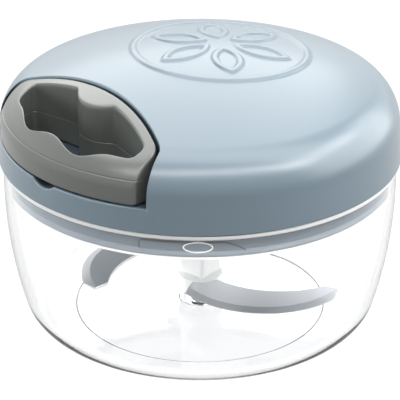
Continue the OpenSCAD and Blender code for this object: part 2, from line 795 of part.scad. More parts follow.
// Plan of the finger opening: a wavy front edge, the rear bar's arc and the cord boss.
module grip_plan() {
    wave = [for (a = [-grip_angle : grip_angle / 26 : grip_angle + eps])
        let (r = grip_r - wave_h * cos(360 * (a - wave_turn) / wave_pitch)) [r * sin(a), -r * cos(a)]];
    difference() {
        intersection() {
            polygon(concat(wave, [[grip_half, 0], [-grip_half, 0]]));
            translate([0, -pocket_c]) circle(pocket_r - handle_gap - bar_t, $fn = wide_facets);
        }
        translate([0, bar_y - cord_boss_out + cord_boss_r]) circle(cord_boss_r);
    }
}

module handle_body() {
    difference() {
        intersection() {
            lid_body(handle_inset);
            translate([0, 0, handle_z]) linear_extrude(big)
                lens_plan(pocket_r - handle_gap, handle_half, handle_corner);
        }
        translate([0, 0, handle_z - 1]) linear_extrude(big) grip_plan();
    }
}

module handle_screw_at() {
    for (s = [-1, 1]) translate([s * handle_screw_x, handle_screw_y, handle_z]) children();
}

module handle_lower() {
    color([0.42, 0.43, 0.42]) difference() {
        intersection() {
            handle_body();
            translate([-big / 2, -big, 0]) cube([big, big, handle_split]);
        }
        translate([0, knot_y, cord_z - knot_r - knot_play]) cylinder(h = big, r = knot_r + knot_play);
        translate([0, knot_y, cord_z]) rotate([-90, 0, 0]) cylinder(h = 20, r = cord_r + free_gap);
        handle_screw_at() {
            translate([0, 0, -1]) cylinder(h = big, r = handle_screw_r + screw_play / 2);
            translate([0, 0, -1]) cylinder(h = handle_head_sink + handle_head_h + 1, r = handle_head_r + screw_play);
        }
    }
}

module handle_upper() {
    color([0.55, 0.56, 0.55]) difference() {
        handle_body();
        translate([-big / 2, -big, 0]) cube([big, big, handle_split]);
        handle_screw_at() cylinder(h = handle_low_h + handle_screw_bite + free_gap, r = handle_screw_r);
    }
}

module handle_screws() {
    color("silver") handle_screw_at() {
        translate([0, 0, handle_head_sink]) cylinder(h = handle_head_h, r = handle_head_r);
        translate([0, 0, handle_head_h]) cylinder(h = handle_low_h + handle_screw_bite - handle_head_h,
            r = handle_screw_r);
    }
}

bowl();
pivot_pin();
rotor_hub();
rotor_bush();
lower_blade();
middle_blade();
upper_blade();
lid_cover();
lid_base();
plug_ring();
seal_ring();
base_screws();
shaft_bush();
thrust_washer();
cord_eyelet();
spring_arbor();
rewind_spring();
cord_spool();
spool_washer();
cord_core();
cord_winding();
drive_shaft();
clutch_pawl();
pull_cord();
cord_knot();
handle_lower();
handle_upper();
handle_screws();
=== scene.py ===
"""Looks of a small pull-string food chopper: clear bowl, bladed rotor and domed lid with a pull handle."""

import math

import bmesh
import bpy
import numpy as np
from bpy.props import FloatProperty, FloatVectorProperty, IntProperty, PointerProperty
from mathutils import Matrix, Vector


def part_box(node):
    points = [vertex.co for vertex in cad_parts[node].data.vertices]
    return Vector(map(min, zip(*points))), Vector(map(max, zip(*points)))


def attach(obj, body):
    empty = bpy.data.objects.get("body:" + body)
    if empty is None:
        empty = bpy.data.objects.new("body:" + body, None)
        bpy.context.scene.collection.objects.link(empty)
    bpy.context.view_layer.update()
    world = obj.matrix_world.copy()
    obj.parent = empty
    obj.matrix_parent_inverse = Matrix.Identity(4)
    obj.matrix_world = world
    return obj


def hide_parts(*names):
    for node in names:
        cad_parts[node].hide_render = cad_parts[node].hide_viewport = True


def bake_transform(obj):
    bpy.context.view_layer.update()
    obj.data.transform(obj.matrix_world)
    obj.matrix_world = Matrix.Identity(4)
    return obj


bl_info = {
    "name": "Pull-string chopper",
    "version": (1, 0, 0),
    "blender": (4, 5, 0),
    "location": "View3D > Sidebar > Chopper",
    "description": "Dresses the chopper's frame with moulded shells, finishes, cord and a pale studio",
    "category": "Object",
}

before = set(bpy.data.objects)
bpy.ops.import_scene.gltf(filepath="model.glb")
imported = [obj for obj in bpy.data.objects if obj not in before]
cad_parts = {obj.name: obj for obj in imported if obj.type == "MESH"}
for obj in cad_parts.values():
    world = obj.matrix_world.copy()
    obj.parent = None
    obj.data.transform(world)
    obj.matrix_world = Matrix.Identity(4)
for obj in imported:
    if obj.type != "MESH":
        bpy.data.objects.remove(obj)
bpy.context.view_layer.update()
MM = 0.001
COLLAR_RADIUS = 61.2 * MM
SHARP = math.radians(40)


# Corners of the frame's own pieces, which the sizes below start from

def low(piece):
    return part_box(piece)[0]


def high(piece):
    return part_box(piece)[1]


# Kinds of property

def length(name, description, default):
    return FloatProperty(name=name, description=description, default=default, unit="LENGTH", precision=5)


def angle(name, description, degrees):
    return FloatProperty(name=name, description=description, default=math.radians(degrees), subtype="ANGLE")


def power(name, description, default):
    return FloatProperty(name=name, description=description, default=default, unit="POWER")


def number(name, description, default):
    return FloatProperty(name=name, description=description, default=default)


def colour(name, description, default):
    return FloatVectorProperty(name=name, description=description, default=default, subtype="COLOR",
                               size=3, min=0, max=1)


class LidSizes(bpy.types.PropertyGroup):
    """Sizes and colours of the domed lid"""

    radius: length("Radius", "Outer radius at the lower edge", high("lid_cover").x - 0.02 * MM)
    edge_z: length("Edge height", "Height of the lower edge", low("lid_cover").z)
    side: length("Side", "Height of the side below the shoulder", 10 * MM)
    draft: length("Draft", "How far the side leans in", 0.8 * MM)
    shoulder: length("Shoulder", "Radius of the rounded shoulder", 14 * MM)
    crown: length("Crown", "Radius of the crowned top", 150 * MM)
    wall: length("Wall", "Thickness of the shell", 2.2 * MM)
    pocket_near: length("Pocket rear", "Distance from the centre to the pocket's rear wall", 34.8 * MM)
    pocket_radius: length("Pocket radius", "Radius of the pocket's rear wall in plan", 88.9 * MM)
    pocket_half: length("Pocket half width", "Half the pocket's width", 37.2 * MM)
    pocket_corner: length("Pocket corner", "Radius of the pocket's rear corners in plan", 8.5 * MM)
    pocket_wall: length("Pocket wall", "Thickness of the pocket's floor and wall", 1.8 * MM)
    lip: length("Lip", "Height of the lip left below the pocket", 7 * MM)
    soft_edge: length("Soft edge", "Rounding of the pocket's rim", 0.7 * MM)
    scoop: length("Scoop", "Radius of the finger scoop in the lip", 8.3 * MM)
    scoop_depth: length("Scoop depth", "Depth of the finger scoop", 1.7 * MM)
    scoop_run: length("Scoop run", "How far the finger scoop runs in from the lip", 11 * MM)
    scoop_turn: angle("Scoop turn", "Direction of the finger scoop", 3.1)
    welt: length("Welt", "Width of the rosette's raised welts", 2.4 * MM)
    welt_rise: length("Welt rise", "Height of the raised welts", 0.7 * MM)
    rosette: length("Rosette", "Radius of the rosette's ring", 28 * MM)
    rosette_y: length("Rosette place", "Distance of the rosette behind the axis", 8 * MM)
    petals: IntProperty(name="Petals", description="Petals in the rosette", default=6, min=4, max=8)
    petal_start: length("Petal start", "Distance from the rosette's middle to a petal's inner tip", 4 * MM)
    petal_gap: length("Petal gap", "Gap between the petals' outer tips and the ring", 5 * MM)
    petal_slim: number("Petal slimness", "Half a petal's width as a share of its length", 0.26)
    tint: colour("Tint", "Blue-grey of the moulded lid", (0.142, 0.2, 0.243))
    # The share below darkens the lid's tint on the pocket's inside: painted shade for the pocket's shadow.
    pocket_shade_share: number("Pocket shade", "Brightness of the pocket's inside as a share of the lid's", 0.3)


class HandleSizes(bpy.types.PropertyGroup):
    """Sizes and colours of the pull handle"""

    gap: length("Gap", "Gap between handle and pocket", 0.8 * MM)
    inset: length("Inset", "How far the upper half lies below the lid's surface", 0.2 * MM)
    step: length("Step", "How far the lower half stands out past the upper one", 0.2 * MM)
    bar: length("Rear bar", "Thickness of the rear bar", 3.2 * MM)
    half: length("Half width", "Half the handle's width", 33.9 * MM)
    corner: length("Rear corner", "Run of the rounded rear corners", 3.0 * MM)
    front_corner: length("Front corner", "Run of the rounded front corners", 1.2 * MM)
    grip: length("Grip", "Mean radius of the opening's front edge", 57.3 * MM)
    wave: length("Wave", "Half the depth of the finger waves", 1.0 * MM)
    lean: length("Grip lean", "Growth of the front edge's radius per radian from left to right", 1.15 * MM)
    pitch: angle("Wave pitch", "Angle from one finger wave to the next", 22.4)
    wave_turn: angle("Wave turn", "Direction of the middle crest", 2.4)
    boss: length("Cord boss", "How far the cord boss stands into the opening", 4.6 * MM)
    boss_half: length("Boss half width", "Half the width of the cord boss", 8.8 * MM)
    boss_blend: length("Boss blend", "Softness of the bend between rear bar and cord boss", 0.5 * MM)
    opening_left: length("Opening left", "Reach of the finger opening to the left", 26.9 * MM)
    opening_right: length("Opening right", "Reach of the finger opening to the right", 30.1 * MM)
    opening_slant: length("Opening slant", "How far the left end slants in toward the front", 1.3 * MM)
    opening_corner: length("Opening corner", "Run of the opening's rounded corners", 2.2 * MM)
    soft_edge: length("Soft edge", "Spread of the rounding along the handle's edges", 0.55 * MM)
    seam: length("Seam", "Rounding along the parting line", 0.25 * MM)
    tint: colour("Tint", "Warm grey of the handle", (0.1, 0.107, 0.098))


class BowlSizes(bpy.types.PropertyGroup):
    """Sizes and colours of the clear bowl"""

    rim_z: length("Rim", "Height of the rim", high("bowl").z)
    collar: length("Collar", "Height of the straight collar", 9.8 * MM)
    radius: length("Radius", "Outer radius of the collar", COLLAR_RADIUS)
    wall: length("Wall", "Thickness of the wall", 2.2 * MM)
    floor: length("Floor", "Thickness of the floor", 2.6 * MM)
    belly: length("Belly", "Radius of the wall's arc below the collar", 140 * MM)
    corner: length("Corner", "Outer radius between wall and floor", 10 * MM)
    bead: length("Bead", "How far the rim bead stands out", high("bowl").x - COLLAR_RADIUS)
    bead_height: length("Bead height", "Height of the rim bead", 1.4 * MM)
    recess: length("Recess", "Radius of the recess under the floor", 40 * MM)
    recess_depth: length("Recess depth", "Depth of the recess under the floor", 0.8 * MM)
    boss_foot: length("Boss foot", "Radius of the boss at the floor", 6.7 * MM)
    boss_top: length("Boss top", "Radius of the boss at its top", 5.3 * MM)
    boss_z: length("Boss height", "Height of the boss that holds the pin", 6 * MM)
    tint: colour("Tint", "Faint tint of the clear plastic", (0.985, 0.99, 0.995))


class PlugSizes(bpy.types.PropertyGroup):
    """Sizes and colours of the plug ring under the lid"""

    wall: length("Wall", "Thickness of the plug's skirt", 1.65 * MM)
    # The lip's white below is a painted highlight along the skirt's lower edge.
    lip: length("Lip", "Height of the white lip below the seal", 0.8 * MM)
    groove: length("Groove", "Height of the seal's groove", 2.0 * MM)
    groove_depth: length("Groove depth", "Depth of the seal's groove", 1.0 * MM)
    tongue: length("Tongue", "Height of the tongue in the base plate", 1.2 * MM)
    tongue_step: length("Tongue step", "How far the tongue steps in from the skirt", 0.55 * MM)
    soft_edge: length("Soft edge", "Rounding of the skirt's edges", 0.15 * MM)
    pad_left: angle("Pad left", "Direction of the pad's left end", -56.1)
    pad_bend: angle("Pad bend", "Direction where the pad's top starts to slope", -32.6)
    pad_right: angle("Pad right", "Direction of the pad's right end", -26)
    pad_slope: number("Pad slope", "How gently the top's slope sets in; 1 is straight", 1.6)
    pad_top: length("Pad top", "Height of the pad's top", 51.5 * MM)
    pad_corner: length("Pad corner", "Rounding of the pad's left corner", 1.0 * MM)
    pad_rise: length("Pad rise", "How far the pad stands out", 0.25 * MM)
    pad_root: length("Pad root", "How deep the pad starts inside the skirt", 0.3 * MM)
    trim_rise: length("Trim rise", "How far the pad's outline stands out from it", 0.04 * MM)
    line: length("Line", "Width of the lines round pad and mark", 0.4 * MM)
    mark_turn: angle("Mark turn", "Direction of the oval mark", -39.4)
    mark_z: length("Mark height", "Height of the oval mark's middle", 49.85 * MM)
    mark_half: length("Mark half width", "Half the oval mark's width", 4.3 * MM)
    mark_rise: length("Mark half height", "Half the oval mark's height", 1.75 * MM)
    # The tint below is a darker, greyer copy of the lid's blue-grey: painted shade for the ring under the
    # lid.
    tint: colour("Tint", "Shaded grey of the plug ring", (0.14, 0.175, 0.205))


class StudioSizes(bpy.types.PropertyGroup):
    """Camera and light of the pale studio"""

    azimuth: angle("Azimuth", "Camera's turn from the handle's side", 51.16)
    elevation: angle("Elevation", "Camera's height angle", 24.88)
    distance: length("Distance", "Camera's distance from the object's middle", 0.6)
    middle: length("Middle", "Height that the distance is measured from", 0.043)
    aim: length("Aim", "Height that the camera looks at", 0.0366)
    lens: number("Lens", "Focal length in millimetres", 171.9)
    back: power("Back light", "Power of the softbox behind", 5.6)
    top: power("Top light", "Power of the overhead softbox", 3.9)
    front: power("Front strip", "Power of the strip above the camera", 3.5)
    upper: power("Upper strip", "Power of the strip high on the right", 1.1)
    left: power("Left strip", "Power of the strip on the left", 3.6)
    right: power("Right light", "Power of the softbox on the right", 6.4)
    ambient: number("Ambient", "Strength of the light from all around", 0.02)
    glow: number("Paper glow", "How much the floor is lifted to white for the camera", 0.92)
    paper: colour("Paper", "Colour of the floor", (0.11, 0.11, 0.11))


# Mesh helpers

def link_mesh(name, points, faces, sharp=SHARP):
    """A smooth-shaded mesh from points and faces, with doubled points joined."""
    mesh = bpy.data.meshes.new(name)
    mesh.from_pydata(points, [], faces)
    shape = bmesh.new()
    shape.from_mesh(mesh)
    bmesh.ops.remove_doubles(shape, verts=shape.verts, dist=2e-6)
    bmesh.ops.dissolve_degenerate(shape, edges=shape.edges, dist=1e-6)
    loose = [v for v in shape.verts if not v.link_faces]
    bmesh.ops.delete(shape, geom=loose, context="VERTS")
    bmesh.ops.recalc_face_normals(shape, faces=shape.faces)
    shape.to_mesh(mesh)
    shape.free()
    mesh.polygons.foreach_set("use_smooth", [True] * len(mesh.polygons))
    mesh.set_sharp_from_angle(angle=sharp)
    made_object = bpy.data.objects.new(name, mesh)
    bpy.context.scene.collection.objects.link(made_object)
    return made_object


def link_grid(name, grid, wrap_rows=False, sharp=SHARP):
    """A mesh from a grid of points that closes on itself along its first axis."""
    columns, rows = grid.shape[:2]
    steps = rows if wrap_rows else rows - 1
    i, j = np.meshgrid(np.arange(columns), np.arange(steps), indexing="ij")
    after = (i + 1) % columns
    above = (j + 1) % rows
    faces = np.stack([i * rows + j, after * rows + j, after * rows + above, i * rows + above], axis=2)
    return link_mesh(name, grid.reshape(-1, 3).tolist(), faces.reshape(-1, 4).tolist(), sharp)


def along(line, start, end, count):
    """Points spread evenly along a line of points, between two distances from its start."""
    line = np.asarray(line, float)
    run = np.concatenate([[0], np.cumsum(np.linalg.norm(np.diff(line, axis=0), axis=1))])
    spots = np.linspace(start, end, count)
    return np.stack([np.interp(spots, run, line[:, k]) for k in range(line.shape[1])], axis=1)


def line_length(line):
    return float(np.linalg.norm(np.diff(np.asarray(line, float), axis=0), axis=1).sum())


def even(line, count):
    """Points spread evenly along a whole line."""
    return along(line, 0, line_length(line), count)


def arc(x, y, radius, turns):
    """Points about (x, y) at angles from the first axis."""
    return np.column_stack([x + radius * np.cos(turns), y + radius * np.sin(turns)])


def ease(start, corner, end, count):
    """Points of a rounded corner after its start, along a quadratic bend."""
    t = np.linspace(0, 1, count + 1)[1:, None]
    return (1 - t) ** 2 * start + 2 * t * (1 - t) * corner + t ** 2 * end


def soft_loop(sides, soft, per_side, per_corner=5):
    """A closed loop through sides that meet end to end, with each corner rounded off by its own amount."""
    trims = []
    for k, side in enumerate(sides):
        span = line_length(side)
        most = 0.42 * span
        trims.append((min(soft[k - 1], most), min(soft[k], most), span))
    loop = []
    for k, side in enumerate(sides):
        start, end, span = trims[k]
        body = along(side, start, span - end, per_side[k])
        following = (k + 1) % len(sides)
        after = along(sides[following], trims[following][0], trims[following][0], 1)[0]
        corner = np.asarray(side[-1], float)
        loop.extend([body, ease(body[-1], corner, after, per_corner + 1)[:-1]])
    return np.concatenate(loop)


def rounded(line, spread, count):
    """The line of points spread evenly, with its bends eased over a distance and its ends kept."""
    points = even(line, count)
    span = line_length(line)
    reach = max(1, int(round(3 * spread / span * count)))
    share = np.exp(-0.5 * (np.arange(-reach, reach + 1) * span / count / spread) ** 2)
    share /= share.sum()
    before = 2 * points[0] - points[reach:0:-1]
    after = 2 * points[-1] - points[-2:-reach - 2:-1]
    padded = np.concatenate([before, points, after])
    return np.stack([np.convolve(column, share, mode="valid") for column in padded.T], axis=1)


def revolve(name, profile, sharp=SHARP):
    """A mesh of a closed profile of (r, z) points turned about the Z axis."""
    segments = 192
    turn = np.linspace(0, 2 * math.pi, segments, endpoint=False)
    profile = np.asarray(profile, float)
    grid = np.stack([np.outer(np.cos(turn), profile[:, 0]), np.outer(np.sin(turn), profile[:, 0]),
                     np.tile(profile[:, 1], (segments, 1))], axis=2)
    return link_grid(name, grid, wrap_rows=True, sharp=sharp)


def plate(name, first, second, inner, outer, closed=False):
    """A thin plate bent round the Z axis, between two lines of (turn, height) points."""
    grid = []
    for near, far in zip(first, second):
        corners = ((inner, *near), (outer, *near), (outer, *far), (inner, *far))
        grid.append([(r * math.cos(turn), r * math.sin(turn), z) for r, turn, z in corners])
    grid = np.array(grid)
    if closed:
        return link_grid(name, grid, wrap_rows=True)
    faces = [(0, 1, 2, 3)]
    for i in range(0, 4 * len(grid) - 4, 4):
        for k in range(4):
            after = (k + 1) % 4
            faces.append((i + k, i + 4 + k, i + 4 + after, i + after))
    faces.append(tuple(4 * len(grid) - 4 + k for k in range(4)))
    return link_mesh(name, grid.reshape(-1, 3).tolist(), faces)


# The lid's surface, shared by lid and handle

CROWN_POINTS = 500
SHOULDER_POINTS = 250
SIDE_POINTS = 40


def lid_curve(s, inset):
    """Radius and height along the lid's outside, from its centre to its lower edge, taken in by inset."""
    shoulder_z = s.edge_z + s.side
    shoulder_x = s.radius - s.draft - s.shoulder
    reach = s.crown - s.shoulder
    crown_z = shoulder_z - math.sqrt(reach ** 2 - shoulder_x ** 2)
    lean = math.asin(shoulder_x / reach)
    meet = math.pi / 2 - lean
    crown = arc(0, crown_z, s.crown - inset, np.linspace(math.pi / 2, meet, CROWN_POINTS))
    shoulder = arc(shoulder_x, shoulder_z, s.shoulder - inset, np.linspace(meet, 0, SHOULDER_POINTS))
    side = np.linspace((s.radius - s.draft - inset, shoulder_z), (s.radius - inset, s.edge_z), SIDE_POINTS)
    return np.concatenate([crown, shoulder[1:], side[1:]])


def welts(s, x, y):
    """Height of the rosette's raised welts at points of the lid: a ring and petal outlines."""
    y = y - s.rosette_y
    half = s.welt / 2
    foot = 1.15 * half
    flank = 0.7 * half
    away = np.abs(np.hypot(x, y) - s.rosette + half)
    petal = s.rosette - s.petal_start - s.petal_gap
    petal_half = s.petal_slim * petal
    bow = (petal ** 2 / 4 + petal_half ** 2) / (2 * petal_half)
    for i in range(s.petals):
        turn = 2 * math.pi * (i + 0.5) / s.petals
        u = x * math.cos(turn) + y * math.sin(turn) - petal / 2 - s.petal_start
        v = -x * math.sin(turn) + y * math.cos(turn)
        far_side = np.maximum(np.hypot(u, v - bow + petal_half), np.hypot(u, v + bow - petal_half))
        away = np.minimum(away, np.abs(far_side - bow + half))
    near = np.clip((foot - away) / flank, 0, 1)
    return s.welt_rise * near * near * (3 - 2 * near)


def scoop_cut(s, x, y, rim):
    """Depth of the finger scoop in the pocket's floor and lip."""
    side = x * math.cos(s.scoop_turn) + y * math.sin(s.scoop_turn)
    dip = np.sqrt(np.maximum(s.scoop ** 2 - side ** 2, 0)) - s.scoop + s.scoop_depth
    inward = np.clip((rim - np.hypot(x, y)) / s.scoop_run, 0, 1)
    return np.maximum(dip, 0) * np.sqrt(1 - inward ** 2) * (y < 0)


REAR_POINTS = 200
BEND_POINTS = 80


def pocket_edge(s, curve, rim, grow):
    """Half of the pocket's edge in plan, from its middle to the rim: rear arc, corner and end."""
    rear_radius = s.pocket_radius + grow
    half = s.pocket_half + grow
    corner = s.pocket_corner + grow
    behind = s.pocket_near + s.pocket_radius
    corner_x = half - corner
    corner_y = math.sqrt((rear_radius - corner) ** 2 - corner_x ** 2) - behind
    meet = math.atan2(corner_y + behind, corner_x)
    points = [arc(0, -behind, rear_radius, np.linspace(math.pi / 2, meet, REAR_POINTS)),
              arc(corner_x, corner_y, corner, np.linspace(meet, 0, BEND_POINTS))]
    reach = curve[(curve[:, 0] > math.hypot(half, corner_y)) & (curve[:, 0] < rim), 0]
    reach = np.append(reach, rim)
    points.append(np.column_stack([np.full(len(reach), half), -np.sqrt(reach ** 2 - half ** 2)]))
    plan = np.concatenate(points)
    height = np.interp(np.hypot(plan[:, 0], plan[:, 1]), curve[:, 0], curve[:, 1])
    return np.column_stack([plan, height])


# Columns round half the pocket's edge and round the rest of the rim, and rows from top to lower edge
EDGE_COLUMNS = 130
REST_COLUMNS = 300
PATH_POINTS = 400
CORNER_ROWS = 5
WALL_ROWS = 7
FLOOR_ROWS = 29
SIDE_ROWS = 10


def lid_columns(s, inset, grow, core_rows, dome_rows, with_welts):
    """Columns of points from the lid's centre over its surface, pocket and lip, down to the edge."""
    curve = lid_curve(s, inset)
    floor_z = s.edge_z + s.lip - grow
    rim = float(np.interp(-floor_z, -curve[:, 1], curve[:, 0]))
    edge = even(pocket_edge(s, curve, rim, grow), EDGE_COLUMNS)[:, :2]
    lip_turn = math.atan2(edge[-1, 0], -edge[-1, 1])
    # The pocket's columns leave the core within this angle to each side of the front
    fan = math.radians(62)
    core = 0.85 * s.pocket_near
    share = np.linspace(0, 1, EDGE_COLUMNS)
    mirrored = edge[:0:-1] * np.array([-1, 1])
    ends = [*mirrored, *edge]
    fans = [*(-fan * share[:0:-1]), *(fan * share)]
    lips = [*(-lip_turn * share[:0:-1]), *(lip_turn * share)]
    for part in np.linspace(0, 1, REST_COLUMNS + 2)[1:-1]:
        lips.append(lip_turn + part * (2 * math.pi - 2 * lip_turn))
        fans.append(fan + part * (2 * math.pi - 2 * fan))
        ends.append(rim * np.array([math.sin(lips[-1]), -math.cos(lips[-1])]))
    grid = []
    for end, turn, lip in zip(ends, fans, lips):
        # Over the dome to the pocket's edge
        middle = core * np.array([math.sin(turn), -math.cos(turn)])
        inner = np.linspace(0, 1, core_rows)[:-1, None] * middle
        top = float(np.interp(np.hypot(*end), curve[:, 0], curve[:, 1]))
        wall = max(top - floor_z, 0)
        soft = min(s.soft_edge, 0.4 * wall)
        path = middle + np.linspace(0, 1, PATH_POINTS)[:, None] * (end - middle)
        line = np.concatenate([inner, path])
        reach = np.hypot(line[:, 0], line[:, 1])
        line = np.column_stack([line, np.interp(reach, curve[:, 0], curve[:, 1])])
        outer = line[core_rows - 1:]
        rows = [line[:core_rows - 1], along(outer, 0, line_length(outer) - soft, dome_rows)]
        corner = np.array([*end, top])
        rows.append(ease(rows[-1][-1], corner, corner - [0, 0, soft], CORNER_ROWS))
        # Down the pocket's wall and along its floor
        out = np.array([math.sin(lip), -math.cos(lip)])
        floor_run = float(np.linalg.norm(rim * out - end))
        way = (rim * out - end) / max(floor_run, 1e-9)
        foot = min(s.soft_edge, 0.25 * floor_run, 0.4 * wall)
        down = np.linspace(top - soft, floor_z + foot, WALL_ROWS + 1)[1:]
        rows.append(np.column_stack([np.tile(end, (WALL_ROWS, 1)), down]))
        base = np.array([*end, floor_z])
        turned = np.array([*(end + way * foot), floor_z])
        rows.append(ease(rows[-1][-1], base, turned, CORNER_ROWS))
        last = np.array([*(rim * out - way * foot), floor_z])
        near_lip = 1 - (1 - np.linspace(0, 1, FLOOR_ROWS + 1)[1:, None]) ** 2
        rows.append(turned + near_lip * (last - turned))
        # Over the lip and down to the lower edge
        drop = even([[rim, floor_z - foot], [s.radius - inset, s.edge_z]], SIDE_ROWS)
        drop = np.column_stack([drop[:, 0:1] * out, drop[:, 1]])
        rows.append(ease(last, np.array([*(rim * out), floor_z]), drop[0], CORNER_ROWS))
        rows.append(drop[1:])
        grid.append(np.concatenate(rows))
    grid = np.array(grid)
    dome_end = core_rows - 1 + dome_rows
    dome = grid[:, :dome_end, :]
    lower = grid[:, dome_end + CORNER_ROWS + WALL_ROWS:, :]
    cut = scoop_cut(s, lower[:, :, 0], lower[:, :, 1], rim)
    fade = np.clip((lower[:, :, 2] - s.edge_z) / (floor_z - s.edge_z), 0, 1)
    lower[:, :, 2] -= cut * fade
    if with_welts:
        dome[:, :, 2] += welts(s, dome[:, :, 0], dome[:, :, 1])
    return grid


# Shader helpers

def feed(tree, target, inputs):
    """Sets a node's inputs to values, or links them from other nodes' outputs."""
    for socket, value in inputs.items():
        if isinstance(value, bpy.types.NodeSocket):
            tree.links.new(value, target.inputs[socket])
        else:
            target.inputs[socket].default_value = value


def node(tree, kind, inputs=None, **settings):
    """A new node with its settings and inputs."""
    made = tree.nodes.new(kind)
    for key, value in settings.items():
        setattr(made, key, value)
    feed(tree, made, inputs or {})
    return made


def math_node(tree, operation, *inputs):
    """The result of a Math node."""
    return node(tree, "ShaderNodeMath", dict(enumerate(inputs)), operation=operation).outputs[0]


def ranged(tree, value, least, most):
    """A value between 0 and 1 spread over another range."""
    made = node(tree, "ShaderNodeMapRange", {"Value": value, "To Min": least, "To Max": most})
    return made.outputs["Result"]


def new_material(name):
    """A new material with its node tree and its Principled shader."""
    material = bpy.data.materials.new(name)
    material.use_nodes = True
    return material, material.node_tree, material.node_tree.nodes["Principled BSDF"]


def group_shell(name, inputs):
    """An empty node group for a surface effect, with its input and output nodes."""
    group = bpy.data.node_groups.new(name, "ShaderNodeTree")
    for label, kind, default in inputs:
        group.interface.new_socket(label, in_out="INPUT", socket_type=kind).default_value = default
    for label, kind in (("Colour", "NodeSocketColor"), ("Roughness", "NodeSocketFloat"),
                        ("Height", "NodeSocketFloat")):
        group.interface.new_socket(label, in_out="OUTPUT", socket_type=kind)
    return group, group.nodes.new("NodeGroupInput").outputs, group.nodes.new("NodeGroupOutput")


def put_out(group, end, tint, roughness, shade, height):
    """Feeds a group's outputs, with the tint made lighter or darker by the shade."""
    paint = node(group, "ShaderNodeVectorMath", {0: tint, "Scale": shade}, operation="SCALE")
    feed(group, end, {"Colour": paint.outputs[0], "Roughness": roughness, "Height": height})


def moulded_group():
    """Fine moulded grain: a height for bump, and a roughness and colour that drift a little."""
    known = bpy.data.node_groups.get("moulded_grain")
    if known:
        return known
    group, start, end = group_shell(
        "moulded_grain",
        [("Tint", "NodeSocketColor", (0.5, 0.5, 0.5, 1)), ("Roughness", "NodeSocketFloat", 0.45),
         ("Grain", "NodeSocketFloat", 4000.0), ("Drift", "NodeSocketFloat", 0.03)])
    place = node(group, "ShaderNodeTexCoord").outputs["Object"]
    grain = node(group, "ShaderNodeTexNoise", {"Vector": place, "Scale": start["Grain"], "Detail": 3})
    cloud = node(group, "ShaderNodeTexNoise", {"Vector": place, "Scale": 35, "Detail": 4}).outputs["Fac"]
    rough = math_node(group, "MULTIPLY_ADD", cloud, start["Drift"], start["Roughness"])
    put_out(group, end, start["Tint"], rough, ranged(group, cloud, 0.98, 1.02), grain.outputs["Fac"])
    return group


def brushed_group():
    """Fine parallel grinding marks of sheet steel: a roughness, a colour and a height."""
    known = bpy.data.node_groups.get("grinding_marks")
    if known:
        return known
    group, start, end = group_shell(
        "grinding_marks",
        [("Tint", "NodeSocketColor", (0.7, 0.7, 0.7, 1)), ("Roughness", "NodeSocketFloat", 0.25)])
    place = node(group, "ShaderNodeTexCoord").outputs["Object"]
    stretch = node(group, "ShaderNodeMapping", {"Vector": place, "Scale": (300, 6000, 6000)})
    marks = node(group, "ShaderNodeTexNoise",
                 {"Vector": stretch.outputs["Vector"], "Scale": 1, "Detail": 4}).outputs["Fac"]
    rough = math_node(group, "MULTIPLY_ADD", marks, 0.06, start["Roughness"])
    put_out(group, end, start["Tint"], rough, ranged(group, marks, 0.95, 1.04), marks)
    return group


def grained(name, group, tint, roughness, bump, depth, shader_values):
    """A material whose colour, roughness and bump come from one of the shared groups."""
    known = bpy.data.materials.get(name)
    if known:
        return known
    material, tree, shader = new_material(name)
    own = {"Tint": (*tint, 1), "Roughness": roughness}
    effect = node(tree, "ShaderNodeGroup", own, node_tree=group).outputs
    relief = node(tree, "ShaderNodeBump",
                  {"Strength": bump, "Distance": depth, "Height": effect["Height"]})
    feed(tree, shader, {"Base Color": effect["Colour"], "Roughness": effect["Roughness"],
                        "Normal": relief.outputs["Normal"], **shader_values})
    return material


# Finishes

def moulding(name, tint, roughness, bump, depth=0.03 * MM, coat=None):
    """Moulded plastic, under a gloss coat of its own roughness where one is given."""
    gloss = {"Coat Weight": 1.0, "Coat Roughness": coat} if coat else {}
    return grained(name, moulded_group(), tint, roughness, bump, depth, gloss)


def metal(name, tint, roughness, bump=0.06):
    return grained(name, brushed_group(), tint, roughness, bump, 0.02 * MM, {"Metallic": 1.0})


def blue_grey_moulding():
    tint = bpy.context.scene.chopper_lid.tint
    return moulding("blue_grey_moulding", tint, 0.33, 0.12, 0.04 * MM, coat=0.28)


# Painted shade: the lid's tint darkened by the share, for the shadow inside the pocket.
def pocket_painted_shade():
    s = bpy.context.scene.chopper_lid
    return moulding("pocket_painted_shade", [s.pocket_shade_share * part for part in s.tint], 0.45, 0.12, 0.04 * MM)


def warm_grey_moulding():
    tint = bpy.context.scene.chopper_handle.tint
    return moulding("warm_grey_moulding", tint, 0.29, 0.12, 0.04 * MM, coat=0.3)


# Painted shade: the plug ring and its pad in a darkened copy of the lid's blue-grey.
def plug_painted_shade():
    return moulding("plug_painted_shade", bpy.context.scene.chopper_plug.tint, 0.3, 0.12, 0.04 * MM)


def white_moulding():
    return moulding("white_moulding", (0.86, 0.86, 0.845), 0.35, 0.08)


def cream_moulding():
    return moulding("cream_moulding", (0.7, 0.68, 0.62), 0.3, 0.05)


def orange_moulding():
    return moulding("orange_moulding", (0.6, 0.2, 0.04), 0.4, 0.08)


# Painted highlight: opaque white on the rim bead's outer faces, for the bright line that light inside the
# clear wall makes.
def rim_painted_highlight():
    return moulding("rim_painted_highlight", (0.97, 0.97, 0.97), 0.3, 0.05)


# Painted shadow: a thin dark line round the pad where the groove's shadow falls.
def pad_painted_shadow_line():
    return moulding("pad_painted_shadow_line", (0.05, 0.055, 0.06), 0.4, 0.05)


def grey_silicone():
    return moulding("grey_silicone", (0.22, 0.25, 0.28), 0.45, 0.06)


def ground_blade():
    return metal("ground_blade", (0.66, 0.67, 0.69), 0.38, 0.03)


